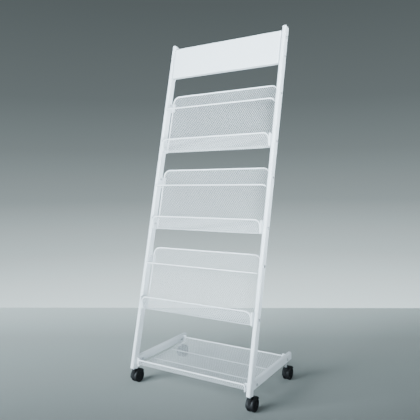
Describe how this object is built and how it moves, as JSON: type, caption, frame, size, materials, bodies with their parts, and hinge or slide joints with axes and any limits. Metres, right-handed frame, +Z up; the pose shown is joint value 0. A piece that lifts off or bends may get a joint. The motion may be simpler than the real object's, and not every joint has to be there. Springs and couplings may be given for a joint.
{
  "type": "newspaper rack",
  "caption": "Free-standing leaning newspaper rack with mesh shelf pockets, retaining bars, a blank sign panel, a low mesh tray and twin-wheel swivel casters.",
  "frame": {"origin": "on the floor under the middle of the rack's bounding box", "axes": "+Z up, +X to the rack's right as seen from the front, +Y from the front to the back, so that a reader faces +Y"},
  "size_m": [0.512, 0.363, 1.3163],
  "materials": {
    "steel_tube": "satin powder coat",
    "sheet_steel": "satin powder coat",
    "expanded_metal": "satin powder coat",
    "round_wire": "satin powder coat",
    "zinc_screws": "zinc plated",
    "white_caps": "satin",
    "caster_hoods": "matt",
    "caster_wheels": "matt",
    "caster_steel": "zinc plated"
  },
  "bodies": {
    "frame": {"front_left_caster_stem": "caster_steel", "front_right_caster_stem": "caster_steel", "header_bolts": "zinc_screws", "header_panel": "sheet_steel", "left_foot_plug": "white_caps", "left_post": "steel_tube", "left_post_cap": "white_caps", "left_side_rail": "steel_tube", "lower_corner_brackets": "sheet_steel", "lower_retaining_bar": "round_wire", "lower_shelf_back_rim": "round_wire", "lower_shelf_bolts": "zinc_screws", "lower_shelf_end_plates": "sheet_steel", "lower_shelf_lip_rim": "round_wire", "lower_shelf_mesh": "expanded_metal", "middle_corner_brackets": "sheet_steel", "middle_retaining_bar": "round_wire", "middle_shelf_back_rim": "round_wire", "middle_shelf_bolts": "zinc_screws", "middle_shelf_end_plates": "sheet_steel", "middle_shelf_lip_rim": "round_wire", "middle_shelf_mesh": "expanded_metal", "rail_end_caps": "white_caps", "rear_caster_sockets": "caster_steel", "rear_left_caster_stem": "caster_steel", "rear_right_caster_stem": "caster_steel", "right_foot_plug": "white_caps", "right_post": "steel_tube", "right_post_cap": "white_caps", "right_side_rail": "steel_tube", "top_corner_brackets": "sheet_steel", "top_retaining_bar": "round_wire", "top_shelf_back_rim": "round_wire", "top_shelf_bolts": "zinc_screws", "top_shelf_end_plates": "sheet_steel", "top_shelf_lip_rim": "round_wire", "top_shelf_mesh": "expanded_metal", "tray_bolts": "zinc_screws", "tray_corner_brackets": "sheet_steel", "tray_cross_wires": "round_wire", "tray_front_rim": "round_wire", "tray_mesh": "expanded_metal", "tray_rear_rim": "round_wire", "tray_side_wires": "round_wire"},
    "front_left_caster": {"front_left_caster_axle": "caster_steel", "front_left_caster_hood": "caster_hoods"},
    "front_left_wheel_left": {"front_left_caster_wheel_left": "caster_wheels"},
    "front_left_wheel_right": {"front_left_caster_wheel_right": "caster_wheels"},
    "front_right_caster": {"front_right_caster_axle": "caster_steel", "front_right_caster_hood": "caster_hoods"},
    "front_right_wheel_left": {"front_right_caster_wheel_left": "caster_wheels"},
    "front_right_wheel_right": {"front_right_caster_wheel_right": "caster_wheels"},
    "rear_left_caster": {"rear_left_caster_axle": "caster_steel", "rear_left_caster_hood": "caster_hoods"},
    "rear_left_wheel_left": {"rear_left_caster_wheel_left": "caster_wheels"},
    "rear_left_wheel_right": {"rear_left_caster_wheel_right": "caster_wheels"},
    "rear_right_caster": {"rear_right_caster_axle": "caster_steel", "rear_right_caster_hood": "caster_hoods"},
    "rear_right_wheel_left": {"rear_right_caster_wheel_left": "caster_wheels"},
    "rear_right_wheel_right": {"rear_right_caster_wheel_right": "caster_wheels"}
  },
  "joints": [
    {"name": "front_left_swivel", "type": "hinge", "parent": "frame", "child": "front_left_caster", "pos_m": [-0.2425, -0.1669, 0.0535], "axis": [0, 0, 1], "continuous": true},
    {"name": "front_left_wheel_left_spin", "type": "hinge", "parent": "front_left_caster", "child": "front_left_wheel_left", "pos_m": [-0.2425, -0.1459, 0.024], "axis": [1, 0, 0], "continuous": true},
    {"name": "front_left_wheel_right_spin", "type": "hinge", "parent": "front_left_caster", "child": "front_left_wheel_right", "pos_m": [-0.2425, -0.1459, 0.024], "axis": [1, 0, 0], "continuous": true},
    {"name": "front_right_swivel", "type": "hinge", "parent": "frame", "child": "front_right_caster", "pos_m": [0.2425, -0.1669, 0.0535], "axis": [0, 0, 1], "continuous": true},
    {"name": "front_right_wheel_left_spin", "type": "hinge", "parent": "front_right_caster", "child": "front_right_wheel_left", "pos_m": [0.2425, -0.1459, 0.024], "axis": [1, 0, 0], "continuous": true},
    {"name": "front_right_wheel_right_spin", "type": "hinge", "parent": "front_right_caster", "child": "front_right_wheel_right", "pos_m": [0.2425, -0.1459, 0.024], "axis": [1, 0, 0], "continuous": true},
    {"name": "rear_left_swivel", "type": "hinge", "parent": "frame", "child": "rear_left_caster", "pos_m": [-0.2425, 0.1365, 0.0535], "axis": [0, 0, 1], "continuous": true},
    {"name": "rear_left_wheel_left_spin", "type": "hinge", "parent": "rear_left_caster", "child": "rear_left_wheel_left", "pos_m": [-0.2425, 0.1575, 0.024], "axis": [1, 0, 0], "continuous": true},
    {"name": "rear_left_wheel_right_spin", "type": "hinge", "parent": "rear_left_caster", "child": "rear_left_wheel_right", "pos_m": [-0.2425, 0.1575, 0.024], "axis": [1, 0, 0], "continuous": true},
    {"name": "rear_right_swivel", "type": "hinge", "parent": "frame", "child": "rear_right_caster", "pos_m": [0.2425, 0.1365, 0.0535], "axis": [0, 0, 1], "continuous": true},
    {"name": "rear_right_wheel_left_spin", "type": "hinge", "parent": "rear_right_caster", "child": "rear_right_wheel_left", "pos_m": [0.2425, 0.1575, 0.024], "axis": [1, 0, 0], "continuous": true},
    {"name": "rear_right_wheel_right_spin", "type": "hinge", "parent": "rear_right_caster", "child": "rear_right_wheel_right", "pos_m": [0.2425, 0.1575, 0.024], "axis": [1, 0, 0], "continuous": true}
  ]
}
